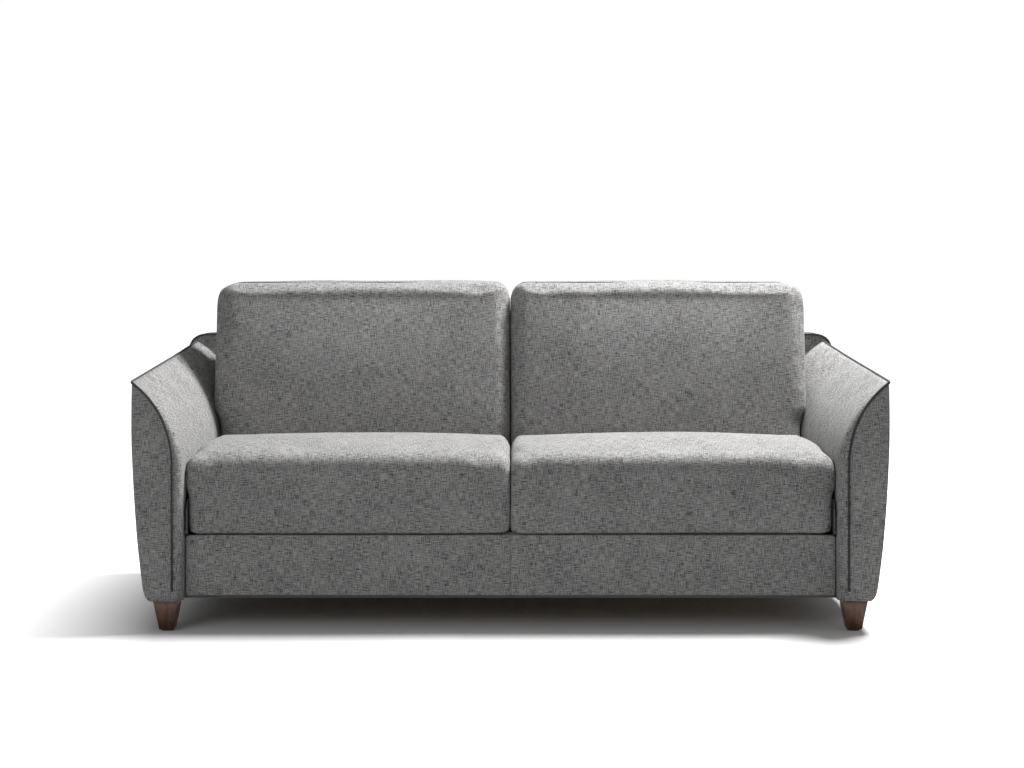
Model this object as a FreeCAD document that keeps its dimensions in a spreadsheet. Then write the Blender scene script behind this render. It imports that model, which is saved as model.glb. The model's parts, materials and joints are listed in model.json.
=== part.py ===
import FreeCAD, Part
import math
import os
import Sketcher

# Two-seat sleeper sofa whose seat and backrest fold forward into a bed.
# Frame: X runs across the sofa, -Y is the front, +Z is up, and the origin lies on the floor
# under the middle of the sofa. Sizes are in millimetres, for the closed sofa.

doc = FreeCAD.newDocument("sleeper_sofa")
sheet = doc.addObject("Spreadsheet::Sheet", "Sizes")


class Size:
    """A length that carries both its number and the sheet expression that gives it."""

    def __init__(self, number, text):
        self.number = number
        self.text = text

    def __add__(self, other):
        other = as_size(other)
        return Size(self.number + other.number, f"({self.text} + {other.text})")

    def __sub__(self, other):
        other = as_size(other)
        return Size(self.number - other.number, f"({self.text} - {other.text})")

    def __mul__(self, other):
        other = as_size(other)
        return Size(self.number * other.number, f"({self.text} * {other.text})")

    def __truediv__(self, other):
        other = as_size(other)
        return Size(self.number / other.number, f"({self.text} / {other.text})")

    def __neg__(self):
        return Size(-self.number, f"(-1 * {self.text})")

    def __radd__(self, other):
        return as_size(other) + self

    def __rsub__(self, other):
        return as_size(other) - self

    def __rmul__(self, other):
        return as_size(other) * self


def as_size(value):
    return value if isinstance(value, Size) else Size(float(value), str(float(value)))


def cosine(angle):
    return Size(math.cos(math.radians(angle.number)), f"cos({angle.text})")


def sine(angle):
    return Size(math.sin(math.radians(angle.number)), f"sin({angle.text})")


def size(alias, number, meaning):
    """Write one driving dimension into the sheet and return it as a Size."""
    row = size.next_row
    size.next_row += 1
    sheet.set(f"A{row}", alias)
    sheet.set(f"B{row}", str(number))
    sheet.set(f"C{row}", meaning)
    sheet.setAlias(f"B{row}", alias)
    return Size(float(number), f"Sizes.{alias}")


size.next_row = 1

# Overall sizes
inner_width = size("inner_width", 1700, "between the two arms at seat height")
arm_top_width = size("arm_top_width", 130, "arm from its inner face to its outer top edge")
depth = size("depth", 950, "front of the arms to the back of the sofa")
arm_foot_width = size("arm_foot_width", 88, "arm from its inner face to its lower outer edge")
arm_lean_start = size("arm_lean_start", 440, "height at which the arm's inner face leans out")
arm_inner_swell = size("arm_inner_swell", 27, "how far the leaning inner face swells")
arm_outer_swell = size("arm_outer_swell", 12, "how far the arm's outer face swells")
arm_front_round = size("arm_front_round", 25, "rounding between the arm's front and its inner face")
arm_lower_round = size("arm_lower_round", 26, "rounding at the arm's lower outer edge")
arm_frame_thickness = size("arm_frame_thickness", 22, "board inside the arm")
arm_frame_inset = size("arm_frame_inset", 18, "board back from the arm's inner face")
arm_height_front = size("arm_height_front", 648, "arm's top edge at the front")
arm_height_rear = size("arm_height_rear", 690, "arm's top edge where it meets the back")
back_post_height = size("back_post_height", 735, "top of the outside back")
back_height = size("back_height", 900, "top of the back cushions")

# Base and feet
leg_height = size("leg_height", 80, "wooden foot under the arm")
leg_top = size("leg_top", 66, "side of the foot at its top")
leg_bottom = size("leg_bottom", 40, "side of the foot at the floor")
leg_inset = size("leg_inset", 12, "foot back from the arm's front face")
glide_height = size("glide_height", 4, "nylon glide under each foot")
panel_bottom = size("panel_bottom", 92, "lower edge of the front panel")
panel_height = size("panel_height", 153, "front panel")
panel_thickness = size("panel_thickness", 20, "front panel, board and cover")
panel_setback = size("panel_setback", 43, "front panel's face back from the arms' front")
panel_cover = size("panel_cover", 8, "padding and fabric on the front board")
base_rail_height = size("base_rail_height", 10, "steel rail that carries the front board")
rail_thickness = size("rail_thickness", 29, "wooden side rail inside each arm")
rail_height = size("rail_height", 38, "wooden side rail")
back_panel_thickness = size("back_panel_thickness", 35, "outside back between its posts")
back_post_depth = size("back_post_depth", 90, "corner post of the outside back")

# Soft parts
cushion_setback = size("cushion_setback", 30, "front of the seat cushions back from the arms")
seat_top = size("seat_top", 448, "top of the seat cushion at its edge")
seat_crown = size("seat_crown", 14, "how far the seat cushion's top swells")
seat_bulge = size("seat_bulge", 12, "how far the seat cushion's front swells")
seat_lip = size("seat_lip", 45, "thickness of the front border that hangs over the frame")
seat_back_gap = size("seat_back_gap", 18, "behind the seat cushion, to the foot of the back cushion")
cushion_gap = size("cushion_gap", 4, "between two cushions side by side")
edge_radius = size("edge_radius", 34, "rounding along a cushion's edges")
side_draw = size("side_draw", 14, "how far a cushion's sides pull in at its corners")
back_cushion_base = size("back_cushion_base", 195, "back cushion's thickness at its bottom")
back_cushion_head = size("back_cushion_head", 140, "back cushion's thickness near its top")
back_crown = size("back_crown", 26, "how far the back cushion's face swells")
pad_thickness = size("pad_thickness", 60, "mattress under the seat and behind the backrest")
head_pad_thickness = size("head_pad_thickness", 118, "mattress in the base")
mattress_width = size("mattress_width", 1540, "width of the bed")
head_length = size("head_length", 580, "mattress in the base, front to back")

# Folding mechanism
hinge_height = size("hinge_height", 256, "plane in which the three mattress parts meet")
hinge_setback = size("hinge_setback", 8, "front hinge back from the seat cushion's face")
back_gap = size("back_gap", 14, "behind the folded mattress, to the outside back")
plate_thickness = size("plate_thickness", 4, "flat steel bar")
layer_gap = size("layer_gap", 0.8, "running gap beside a flat bar")
bar_width = size("bar_width", 22, "flat steel bar, its wide face")
tube_diameter = size("tube_diameter", 25, "round tube of the frames")
slat_thickness = size("slat_thickness", 10, "beech slat")
slat_width = size("slat_width", 62, "beech slat")
slat_pitch = size("slat_pitch", 82, "from one base slat to the next")
batten_pitch = size("batten_pitch", 150, "from one upright batten to the next")
cross_rail_width = size("cross_rail_width", 30, "steel cross rail between two flat bars")
boss_radius = size("boss_radius", 11, "round end of a flat bar at its pivot")
pin_radius = size("pin_radius", 4, "hinge pin")
spacer_drop = size("spacer_drop", 5, "spacer pin below the end of the back bars")
pin_clearance = size("pin_clearance", 0.05, "running gap round a hinge pin")
swing_length = size("swing_length", 200, "lift arm between its two pivots")
swing_angle = size("swing_angle", 25, "lift arm below level when closed, above level when open")
swing_width = size("swing_width", 26, "lift arm, its wide face")
front_swing_setback = size("front_swing_setback", 135, "front lift pivot behind the arms' front")
rear_swing_spacing = size("rear_swing_spacing", 310, "rear lift pivot behind the front one")
foot_length = size("foot_length", 472, "mattress behind the backrest, from hinge to end")
mid_leg_inset = size("mid_leg_inset", 105, "middle bed leg's pivot in front of the back hinge")
foot_leg_clearance = size("foot_leg_clearance", 15, "end of the folded foot leg above the seat bars")
back_bar_end = size("back_bar_end", 22, "end of the back bars above the foot leg's pivot")
strap_width = size("strap_width", 40, "webbing of the pull strap")
strap_thickness = size("strap_thickness", 5, "doubled webbing of the pull strap")
strap_length = size("strap_length", 78, "pull strap above its cross rail")
seat_clearance = size("seat_clearance", 0.3, "between parts that rest against each other")

doc.recompute()

# Places worked out from the driving dimensions
front_y = -depth / 2
back_y = depth / 2
half_inner = inner_width / 2
half_outer = half_inner + arm_top_width
cushion_front = front_y + cushion_setback
hinge_y = cushion_front + hinge_setback
rear_hinge_y = back_y - back_panel_thickness - back_gap
panel_front = front_y + panel_setback
panel_rear = panel_front + panel_thickness
panel_top = panel_bottom + panel_height
post_front = back_y - back_post_depth

outer_plate = (half_inner - layer_gap - plate_thickness, half_inner - layer_gap)
inner_plate = (outer_plate[0] - layer_gap - plate_thickness, outer_plate[0] - layer_gap)
cushion_side = inner_plate[0] - layer_gap

pad_bottom = hinge_height + layer_gap
pad_top = pad_bottom + pad_thickness
bar_bottom = pad_top
bar_top = bar_bottom + bar_width
bar_middle = bar_bottom + bar_width / 2
tube_radius = tube_diameter / 2
back_bar_rear = rear_hinge_y - layer_gap - pad_thickness
back_bar_front = back_bar_rear - bar_width
back_bar_middle = back_bar_rear - bar_width / 2

head_pad_top = hinge_height - layer_gap
head_pad_bottom = head_pad_top - head_pad_thickness
head_slat_bottom = head_pad_bottom - slat_thickness
platform_top = head_slat_bottom
platform_middle = platform_top - tube_radius
platform_bottom = platform_top - tube_diameter
platform_front = panel_rear + layer_gap * 4
platform_rear = platform_front + head_length

swing_rise = swing_length * sine(swing_angle)
swing_reach = swing_length * cosine(swing_angle)
swing_pivot_z = platform_middle + swing_rise
front_swing_y = front_y + front_swing_setback
rear_swing_y = front_swing_y + rear_swing_spacing
rail_inner = half_inner - rail_thickness
bracket_half = swing_width / 2 + plate_thickness * 1.5
bracket_layer = (rail_inner - plate_thickness, rail_inner)
swing_layer = (bracket_layer[0] - layer_gap - plate_thickness, bracket_layer[0] - layer_gap)
platform_half = swing_layer[0] - layer_gap
bed_plane = hinge_height + swing_rise * 2
bed_leg_length = bed_plane - (bar_middle - hinge_height) - layer_gap
foot_leg_distance = bed_leg_length + (bar_top - hinge_height) + foot_leg_clearance
cushion_rear = back_bar_front - back_cushion_base - seat_back_gap


def bind(item, name, value):
    item.setExpression(name, as_size(value).text)


def place(item, x, y, z):
    bind(item, "Placement.Base.x", x)
    bind(item, "Placement.Base.y", y)
    bind(item, "Placement.Base.z", z)


def block(label, x, y, z):
    """A box between two places on each axis."""
    item = doc.addObject("Part::Box", label)
    item.Label = label
    bind(item, "Length", x[1] - x[0])
    bind(item, "Width", y[1] - y[0])
    bind(item, "Height", z[1] - z[0])
    place(item, x[0], y[0], z[0])
    return item


def rod(label, x, y, z, radius):
    """A round bar along X between two places."""
    item = doc.addObject("Part::Cylinder", label)
    item.Label = label
    bind(item, "Radius", radius)
    bind(item, "Height", x[1] - x[0])
    turned = FreeCAD.Rotation(FreeCAD.Vector(0, 1, 0), 90)
    item.Placement = FreeCAD.Placement(FreeCAD.Vector(), turned)
    place(item, x[0], y, z)
    return item


def long_rod(label, x, y, z, radius):
    """A round bar along Y between two places."""
    item = doc.addObject("Part::Cylinder", label)
    item.Label = label
    bind(item, "Radius", radius)
    bind(item, "Height", y[1] - y[0])
    turned = FreeCAD.Rotation(FreeCAD.Vector(1, 0, 0), -90)
    item.Placement = FreeCAD.Placement(FreeCAD.Vector(), turned)
    place(item, x, y[0], z)
    return item


def grouped(label, items):
    """Separate solids that share one node."""
    item = doc.addObject("Part::Compound", label)
    item.Label = label
    item.Links = items
    return item


def cut_from(label, base, tool):
    item = doc.addObject("Part::Cut", label)
    item.Label = label
    item.Base = base
    item.Tool = tool
    return item


def mirrored(label, source):
    item = doc.addObject("Part::Mirroring", label)
    item.Label = label
    item.Source = source
    item.Normal = FreeCAD.Vector(1, 0, 0)
    item.Base = FreeCAD.Vector(0, 0, 0)
    return item


def origin_plane(body, role):
    return next(item for item in body.Origin.OriginFeatures if item.Role == role)


def side_sketch(body, name, x):
    """A sketch on the plane across the sofa at x: its own axes are Y and Z."""
    sketch = body.newObject("Sketcher::SketchObject", name)
    sketch.AttachmentSupport = [(origin_plane(body, "YZ_Plane"), "")]
    sketch.MapMode = "FlatFace"
    bind(sketch, "AttachmentOffset.Base.z", x)
    return sketch


def hold_point(sketch, geometry, end, y, z):
    """Tie one point of a sketch to its place, with both distances bound to the sheet."""
    across = sketch.addConstraint(
        Sketcher.Constraint("DistanceX", -1, 1, geometry, end, as_size(y).number))
    up = sketch.addConstraint(
        Sketcher.Constraint("DistanceY", -1, 1, geometry, end, as_size(z).number))
    bind(sketch, f"Constraints[{across}]", y)
    bind(sketch, f"Constraints[{up}]", z)


def draw_polygon(sketch, corners):
    count = len(corners)
    points = [FreeCAD.Vector(as_size(y).number, as_size(z).number, 0) for y, z in corners]
    for index in range(count):
        sketch.addGeometry(Part.LineSegment(points[index], points[(index + 1) % count]), False)
    for index in range(count):
        sketch.addConstraint(
            Sketcher.Constraint("Coincident", index, 2, (index + 1) % count, 1))
    for index, (y, z) in enumerate(corners):
        hold_point(sketch, index, 1, y, z)


def draw_circle(sketch, y, z, radius):
    centre = FreeCAD.Vector(as_size(y).number, as_size(z).number, 0)
    index = sketch.addGeometry(
        Part.Circle(centre, FreeCAD.Vector(0, 0, 1), as_size(radius).number), False)
    hold_point(sketch, index, 3, y, z)
    across = sketch.addConstraint(Sketcher.Constraint("Radius", index, as_size(radius).number))
    bind(sketch, f"Constraints[{across}]", radius)


def flat_bar(label, x, corners, bosses, holes):
    """A flat steel bar: its outline, round bosses at its pivots, and the pin holes."""
    body = doc.addObject("PartDesign::Body", label)
    body.Label = label
    outline = side_sketch(body, f"{label}_outline", x[0])
    draw_polygon(outline, corners)
    pad = body.newObject("PartDesign::Pad", f"{label}_bar")
    pad.Profile = outline
    bind(pad, "Length", x[1] - x[0])
    for number, (y, z, radius) in enumerate(bosses):
        ring = side_sketch(body, f"{label}_boss_outline_{number}", x[0])
        draw_circle(ring, y, z, radius)
        boss = body.newObject("PartDesign::Pad", f"{label}_boss_{number}")
        boss.Profile = ring
        bind(boss, "Length", x[1] - x[0])
    for number, (y, z, radius) in enumerate(holes):
        ring = side_sketch(body, f"{label}_hole_outline_{number}", x[0])
        draw_circle(ring, y, z, radius)
        doc.recompute()
        before = body.Shape.Volume
        pocket = body.newObject("PartDesign::Pocket", f"{label}_hole_{number}")
        pocket.Profile = ring
        pocket.Reversed = True
        bind(pocket, "Length", x[1] - x[0])
        doc.recompute()
        if body.Shape.Volume >= before:
            raise RuntimeError(f"{label}: hole {number} cut nothing")
    return body


def vector(x, y, z):
    return FreeCAD.Vector(as_size(x).number, as_size(y).number, as_size(z).number)


def line(start, end):
    return Part.LineSegment(start, end).toShape()


def arc(start, end, swell):
    """An arc from start to end whose middle stands off the chord by the vector swell."""
    middle = (start + end) * 0.5 + swell
    return Part.Arc(start, middle, end).toShape()


def corner(start, end, point):
    """A rounded corner from start to end, drawn towards the sharp corner point."""
    middle = (start + end) * 0.5
    reach = math.sqrt(2) - 1
    return Part.Arc(start, middle + (point - middle) * reach, end).toShape()


def lofted(label, wires, smooth=False):
    item = doc.addObject("Part::Feature", label)
    item.Label = label
    item.Shape = Part.makeLoft(wires, True, not smooth, False)
    return item


def outline(axis, at, u, v, inset, radius):
    """A rectangle with rounded corners, square to the axis, pulled in by inset."""
    places = {
        "x": lambda a, b: FreeCAD.Vector(at, a, b),
        "y": lambda a, b: FreeCAD.Vector(a, at, b),
        "z": lambda a, b: FreeCAD.Vector(a, b, at),
    }
    point = places[axis]
    u0, u1 = as_size(u[0]).number + inset, as_size(u[1]).number - inset
    v0, v1 = as_size(v[0]).number + inset, as_size(v[1]).number - inset
    r = radius
    return Part.Wire([
        line(point(u0 + r, v0), point(u1 - r, v0)),
        corner(point(u1 - r, v0), point(u1, v0 + r), point(u1, v0)),
        line(point(u1, v0 + r), point(u1, v1 - r)),
        corner(point(u1, v1 - r), point(u1 - r, v1), point(u1, v1)),
        line(point(u1 - r, v1), point(u0 + r, v1)),
        corner(point(u0 + r, v1), point(u0, v1 - r), point(u0, v1)),
        line(point(u0, v1 - r), point(u0, v0 + r)),
        corner(point(u0, v0 + r), point(u0 + r, v0), point(u0, v0)),
    ])


def padded_slab(label, axis, w, u, v, radius, edge):
    """A slab along the axis whose two faces are rounded over by edge at their rims."""
    w0, w1 = as_size(w[0]).number, as_size(w[1]).number
    rim = as_size(edge).number
    steps = [(0.0, 1.0), (0.3, 0.3), (1.0, 0.0)]
    levels = [(w0 + rim * share, rim * inset) for share, inset in steps]
    levels += [(w1 - rim * share, rim * inset) for share, inset in reversed(steps)]
    r = as_size(radius).number
    return lofted(label, [outline(axis, at, u, v, inset, r) for at, inset in levels])


def arm_section(y, inner_inset, outer_inset, top):
    """The arm's outline across the sofa: it flares from the seat to one sharp top edge."""
    x_in = half_inner.number + inner_inset
    x_top = half_outer.number - outer_inset
    x_foot = half_inner.number + arm_foot_width.number - outer_inset
    low = leg_height.number
    lean = arm_lean_start.number
    bend = arm_lower_round.number

    def at(x, z):
        return FreeCAD.Vector(x, y, z)

    slope = at(x_top, top) - at(x_in, lean)
    outward = FreeCAD.Vector(-slope.z, 0, slope.x).normalize()
    side = at(x_foot + bend * 0.6, low + bend * 1.4)
    return Part.Wire([
        line(at(x_in, low), at(x_in, lean)),
        arc(at(x_in, lean), at(x_top, top), outward * arm_inner_swell.number),
        arc(at(x_top, top), side, FreeCAD.Vector(arm_outer_swell.number, 0, 0)),
        corner(side, at(x_foot, low), at(x_foot + bend * 0.4, low + bend * 0.1)),
        line(at(x_foot, low), at(x_in, low)),
    ])


def arm_height_at(y):
    run = post_front.number - front_y.number
    rise = arm_height_rear.number - arm_height_front.number
    return arm_height_front.number + rise * (y - front_y.number) / run


def arm_body(label):
    """The padded arm, rounded where its front turns into its inner face."""
    front = front_y.number
    r = arm_front_round.number
    steps = [(0.0, 1.0, 4.0), (0.12, 0.5, 1.0), (0.45, 0.14, 0.0), (1.0, 0.0, 0.0)]
    sections = [(front + r * share, r * inset, outer) for share, inset, outer in steps]
    sections.append((post_front.number, 0.0, 0.0))
    return lofted(label, [arm_section(y, inset, outer, arm_height_at(y))
                          for y, inset, outer in sections])


def make_arms():
    board_x = (half_inner + arm_frame_inset, half_inner + arm_frame_inset + arm_frame_thickness)
    board_y = (front_y + arm_front_round * 1.6, post_front - arm_front_round)
    board = block("arm_board_right", board_x, board_y,
                  (leg_height + base_rail_height, arm_lean_start - arm_front_round))
    padding = arm_body("arm_form_right")
    arm = cut_from("arm_right", padding, board)
    return [arm, mirrored("arm_left", arm), board, mirrored("arm_board_left", board)]


def post_section(y, inset):
    """The corner post's outline: upright inside, rounded on top, following the arm outside."""
    x_in = half_inner.number + inset
    x_top = half_outer.number - inset - arm_outer_swell.number / 2
    x_foot = half_inner.number + arm_foot_width.number - inset
    low = leg_height.number + inset
    top = back_post_height.number - inset
    bend = arm_lower_round.number

    def at(x, z):
        return FreeCAD.Vector(x, y, z)

    side = at(x_foot + bend * 0.6, low + bend * 1.4)
    return Part.Wire([
        line(at(x_in, low), at(x_in, top - bend)),
        corner(at(x_in, top - bend), at(x_in + bend, top), at(x_in, top)),
        line(at(x_in + bend, top), at(x_top - bend, top)),
        corner(at(x_top - bend, top), at(x_top, top - bend), at(x_top, top)),
        arc(at(x_top, top - bend), side, FreeCAD.Vector(arm_outer_swell.number, 0, 0)),
        corner(side, at(x_foot, low), at(x_foot + bend * 0.4, low + bend * 0.1)),
        line(at(x_foot, low), at(x_in, low)),
    ])


def make_back_frame():
    rim = edge_radius.number / 4
    rear = back_y.number
    levels = [(post_front.number, 0.0), (rear - rim, 0.0), (rear - rim * 0.3, rim * 0.3),
              (rear, rim)]
    post = lofted("back_post_right", [post_section(y, inset) for y, inset in levels])
    panel = padded_slab("back_panel", "y", (back_y - back_panel_thickness, back_y),
                        (-half_inner, half_inner), (leg_height, back_post_height),
                        edge_radius / 8, edge_radius / 8)
    return [post, mirrored("back_post_left", post), panel]


def make_base():
    end = outer_plate[0] - layer_gap * 2
    board = block("front_board", (-end, end), (panel_front + panel_cover, panel_rear),
                  (panel_bottom, panel_top))
    cover = padded_slab("front_panel", "y", (panel_front, panel_front + panel_cover),
                        (-end, end), (panel_bottom, panel_top), panel_cover / 4,
                        panel_cover / 4)
    rail = block("front_base_rail", (-half_inner, half_inner),
                 (panel_front + panel_cover, panel_rear),
                 (panel_bottom - base_rail_height, panel_bottom))
    side = block("base_rail_right", (rail_inner, half_inner),
                 (front_swing_y - bracket_half, back_y - back_panel_thickness),
                 (panel_bottom, panel_bottom + rail_height))
    return [board, cover, rail, side, mirrored("base_rail_left", side)]


def make_foot(label, y_middle):
    """A square wooden foot that tapers to the floor, on the arm's underside."""
    x_middle = half_inner + arm_foot_width / 2
    foot = doc.addObject("Part::Wedge", label)
    foot.Label = label
    for name, value in (("Xmin", -leg_bottom / 2), ("Xmax", leg_bottom / 2),
                        ("Zmin", -leg_bottom / 2), ("Zmax", leg_bottom / 2),
                        ("X2min", -leg_top / 2), ("X2max", leg_top / 2),
                        ("Z2min", -leg_top / 2), ("Z2max", leg_top / 2),
                        ("Ymin", as_size(0)), ("Ymax", leg_height - glide_height)):
        bind(foot, name, value)
    turned = FreeCAD.Rotation(FreeCAD.Vector(1, 0, 0), 90)
    foot.Placement = FreeCAD.Placement(FreeCAD.Vector(), turned)
    place(foot, x_middle, y_middle, glide_height)
    return foot


def make_glide(name, x, y):
    glide = doc.addObject("Part::Cylinder", name)
    bind(glide, "Radius", leg_bottom * 0.4)
    bind(glide, "Height", glide_height)
    place(glide, x, y, 0)
    return glide


def make_feet():
    front = front_y + leg_inset + leg_top / 2
    rear = back_y - leg_inset - leg_top / 2
    x_middle = half_inner + arm_foot_width / 2
    feet = []
    for place_name, y in (("front", front), ("rear", rear)):
        right = make_foot(f"foot_{place_name}_right", y)
        feet += [right, mirrored(f"foot_{place_name}_left", right)]
    glides = [make_glide(f"glide_{number}", x, y)
              for number, (x, y) in enumerate([(x_middle, front), (-x_middle, front),
                                               (x_middle, rear), (-x_middle, rear)])]
    return feet + [grouped("foot_glides", glides)]


def seat_section(x, inset, crown, bulge):
    """The seat cushion cut at x: a thick front border, a crowned top and a flat underside."""
    front = cushion_front.number + seat_bulge.number + inset * 0.6
    rear = cushion_rear.number - inset
    top = seat_top.number - inset
    under = bar_top.number + seat_clearance.number
    low = hinge_height.number + layer_gap.number * 2 + inset * 0.3
    lip = cushion_front.number + seat_bulge.number + seat_lip.number
    r = edge_radius.number
    small = r / 3

    def at(y, z):
        return FreeCAD.Vector(x, y, z)

    return Part.Wire([
        arc(at(front, low + small), at(front, top - r), FreeCAD.Vector(0, -bulge, 0)),
        corner(at(front, top - r), at(front + r, top), at(front - bulge * 0.3, top)),
        arc(at(front + r, top), at(rear - r, top), FreeCAD.Vector(0, 0, crown)),
        corner(at(rear - r, top), at(rear, top - r), at(rear, top)),
        line(at(rear, top - r), at(rear, under + small)),
        corner(at(rear, under + small), at(rear - small, under), at(rear, under)),
        line(at(rear - small, under), at(lip, under)),
        line(at(lip, under), at(lip, low)),
        line(at(lip, low), at(front + small, low)),
        corner(at(front + small, low), at(front, low + small), at(front, low)),
    ])


def back_cushion_section(x, inset, crown):
    """The back cushion cut at x: a leaning crowned face and a flat back on the battens."""
    rear = back_bar_front.number - seat_clearance.number
    front_low = back_bar_front.number - back_cushion_base.number + inset
    front_high = back_bar_front.number - back_cushion_head.number + inset
    low = bar_top.number + edge_radius.number / 3 + inset
    top = back_height.number - inset - crown * 0.35
    r = edge_radius.number * 1.2
    back_r = edge_radius.number

    def at(y, z):
        return FreeCAD.Vector(x, y, z)

    return Part.Wire([
        arc(at(front_low, low + r), at(front_high, top - r), FreeCAD.Vector(0, -crown, 0)),
        corner(at(front_high, top - r), at(front_high + r, top), at(front_high, top)),
        arc(at(front_high + r, top), at(rear - back_r, top),
            FreeCAD.Vector(0, 0, crown * 0.35)),
        corner(at(rear - back_r, top), at(rear, top - back_r), at(rear, top)),
        line(at(rear, top - back_r), at(rear, low + back_r)),
        corner(at(rear, low + back_r), at(rear - back_r, low), at(rear, low)),
        line(at(rear - back_r, low), at(front_low + r, low)),
        corner(at(front_low + r, low), at(front_low, low + r), at(front_low, low)),
    ])


# How a cushion fills out from its side: share of its width, how far it is drawn in, its crown
FILL = ((0.0, 1.0, 0.1), (0.015, 0.35, 0.25), (0.08, 0.04, 0.55), (0.25, 0.0, 0.9),
        (0.5, 0.0, 1.0))


def across(x0, x1):
    """The cuts of a cushion between two sides, as (x, drawn-in share, crown share)."""
    width = x1 - x0
    half = [(x0 + width * share, draw, crown) for share, draw, crown in FILL]
    return half + [(x1 + x0 - x, draw, crown) for x, draw, crown in reversed(half[:-1])]


def make_cushions():
    x0 = cushion_gap.number / 2
    x1 = cushion_side.number
    draw = side_draw.number
    seat = lofted("seat_cushion_right", [
        seat_section(x, draw * share, seat_crown.number * crown, seat_bulge.number * crown)
        for x, share, crown in across(x0, x1)])
    back = lofted("back_cushion_right", [
        back_cushion_section(x, draw * share, back_crown.number * crown)
        for x, share, crown in across(x0, x1)])
    return [seat, mirrored("seat_cushion_left", seat), back,
            mirrored("back_cushion_left", back)]


def mitred_pad(label, corners):
    """A mattress part across the bed from its outline in Y and Z."""
    body = doc.addObject("PartDesign::Body", label)
    body.Label = label
    outline_sketch = side_sketch(body, f"{label}_outline", -mattress_width / 2)
    draw_polygon(outline_sketch, corners)
    pad = body.newObject("PartDesign::Pad", f"{label}_pad")
    pad.Profile = outline_sketch
    bind(pad, "Length", mattress_width)
    return body


def make_mattress():
    """Three mattress parts: two meet in a mitre at the back hinge, one lies in the base."""
    lip_rear = cushion_front + seat_bulge + seat_lip + layer_gap
    end = rear_hinge_y - layer_gap
    middle = mitred_pad("mattress_middle", [
        (lip_rear, pad_bottom), (end - layer_gap, pad_bottom),
        (end - pad_thickness - layer_gap, pad_top), (lip_rear, pad_top)])
    foot = mitred_pad("mattress_foot", [
        (end, pad_bottom + layer_gap), (end, hinge_height + foot_length),
        (end - pad_thickness, hinge_height + foot_length),
        (end - pad_thickness, pad_top + layer_gap)])
    head = padded_slab("mattress_head", "z", (head_pad_bottom, head_pad_top),
                       (-mattress_width / 2, mattress_width / 2),
                       (platform_front, platform_rear), edge_radius, edge_radius / 3)
    return [middle, foot, head]


def make_base_platform():
    """The part that rises: tubes, slats, and the noses that carry the front hinge."""
    front_tube_y = platform_front + tube_radius
    side_y = (platform_front + tube_diameter, platform_rear)
    side_x = platform_half - tube_radius
    side = long_rod("platform_tube_right", side_x, side_y, platform_middle, tube_radius)
    inner_end = platform_half - tube_diameter
    front_tube = rod("platform_front_tube", (-outer_plate[0], outer_plate[0]), front_tube_y,
                     platform_middle, tube_radius)
    middle_tube = rod("platform_middle_tube", (-inner_end, inner_end),
                      (platform_front + platform_rear) / 2, platform_middle, tube_radius)
    rear_tube = rod("platform_rear_tube", (-inner_end, inner_end),
                    platform_rear - tube_radius, platform_middle, tube_radius)
    slats = []
    for number in range(7):
        near = platform_front + slat_pitch * number + layer_gap * 5
        slats.append(block(f"platform_slat_{number}", (-platform_half + tube_radius / 2,
                                                      platform_half - tube_radius / 2),
                           (near, near + slat_width), (head_slat_bottom, head_pad_bottom)))
    rear_edge = front_tube_y + tube_radius
    nose = flat_bar(
        "front_hinge_bracket_right", outer_plate,
        [(hinge_y + boss_radius / 2, platform_bottom), (rear_edge, platform_bottom),
         (rear_edge, platform_top), (hinge_y + boss_radius * 2, platform_top),
         (hinge_y + boss_radius * 2, hinge_height - boss_radius),
         (hinge_y + boss_radius * 0.8, hinge_height + boss_radius * 0.3),
         (hinge_y - boss_radius * 0.5, hinge_height - boss_radius * 0.5),
         (hinge_y + boss_radius / 2, hinge_height - boss_radius * 1.5)],
        [(hinge_y, hinge_height, boss_radius * 0.8)],
        [(hinge_y, hinge_height, pin_radius)])
    return [side, mirrored("platform_tube_left", side), front_tube,
            grouped("platform_cross_tubes", [middle_tube, rear_tube]),
            grouped("platform_slats", slats), nose,
            mirrored("front_hinge_bracket_left", nose)]


def make_seat_frame():
    front = hinge_y - boss_radius * 0.7
    rear = rear_hinge_y + boss_radius * 0.7
    side = flat_bar(
        "seat_bar_right", inner_plate,
        [(front, hinge_height), (hinge_y + boss_radius * 0.7, hinge_height),
         (hinge_y + boss_radius * 1.5, bar_bottom),
         (rear_hinge_y - boss_radius * 1.5, bar_bottom),
         (rear_hinge_y - boss_radius * 0.7, hinge_height), (rear, hinge_height),
         (rear, bar_bottom), (rear_hinge_y - boss_radius, bar_top),
         (hinge_y + boss_radius, bar_top), (front, bar_bottom)],
        [(hinge_y, hinge_height, boss_radius * 0.8), (rear_hinge_y, hinge_height, boss_radius)],
        [(hinge_y, hinge_height, pin_radius + pin_clearance),
         (rear_hinge_y, hinge_height, pin_radius),
         (rear_hinge_y - mid_leg_inset, bar_middle, pin_radius)])
    reach = inner_plate[0]
    level = (bar_bottom, bar_top - slat_thickness)
    first = hinge_y + boss_radius * 2 + seat_lip
    last = back_bar_front - cross_rail_width - layer_gap * 6
    rails = []
    for number, near in enumerate([first, (first + last) / 2, last]):
        rails.append(block(f"seat_rail_{number}", (-reach, reach),
                           (near, near + cross_rail_width), level))
    battens = []
    for number in range(5):
        for side_name, sign in (("right", 1), ("left", -1)):
            middle = batten_pitch * (number + 0.5) * sign
            battens.append(block(f"seat_batten_{side_name}_{number}",
                                 (middle - slat_width / 2, middle + slat_width / 2),
                                 (first, last + cross_rail_width),
                                 (bar_top - slat_thickness, bar_top)))
    return [side, mirrored("seat_bar_left", side), grouped("seat_cross_rails", rails),
            grouped("seat_battens", battens)]


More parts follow.
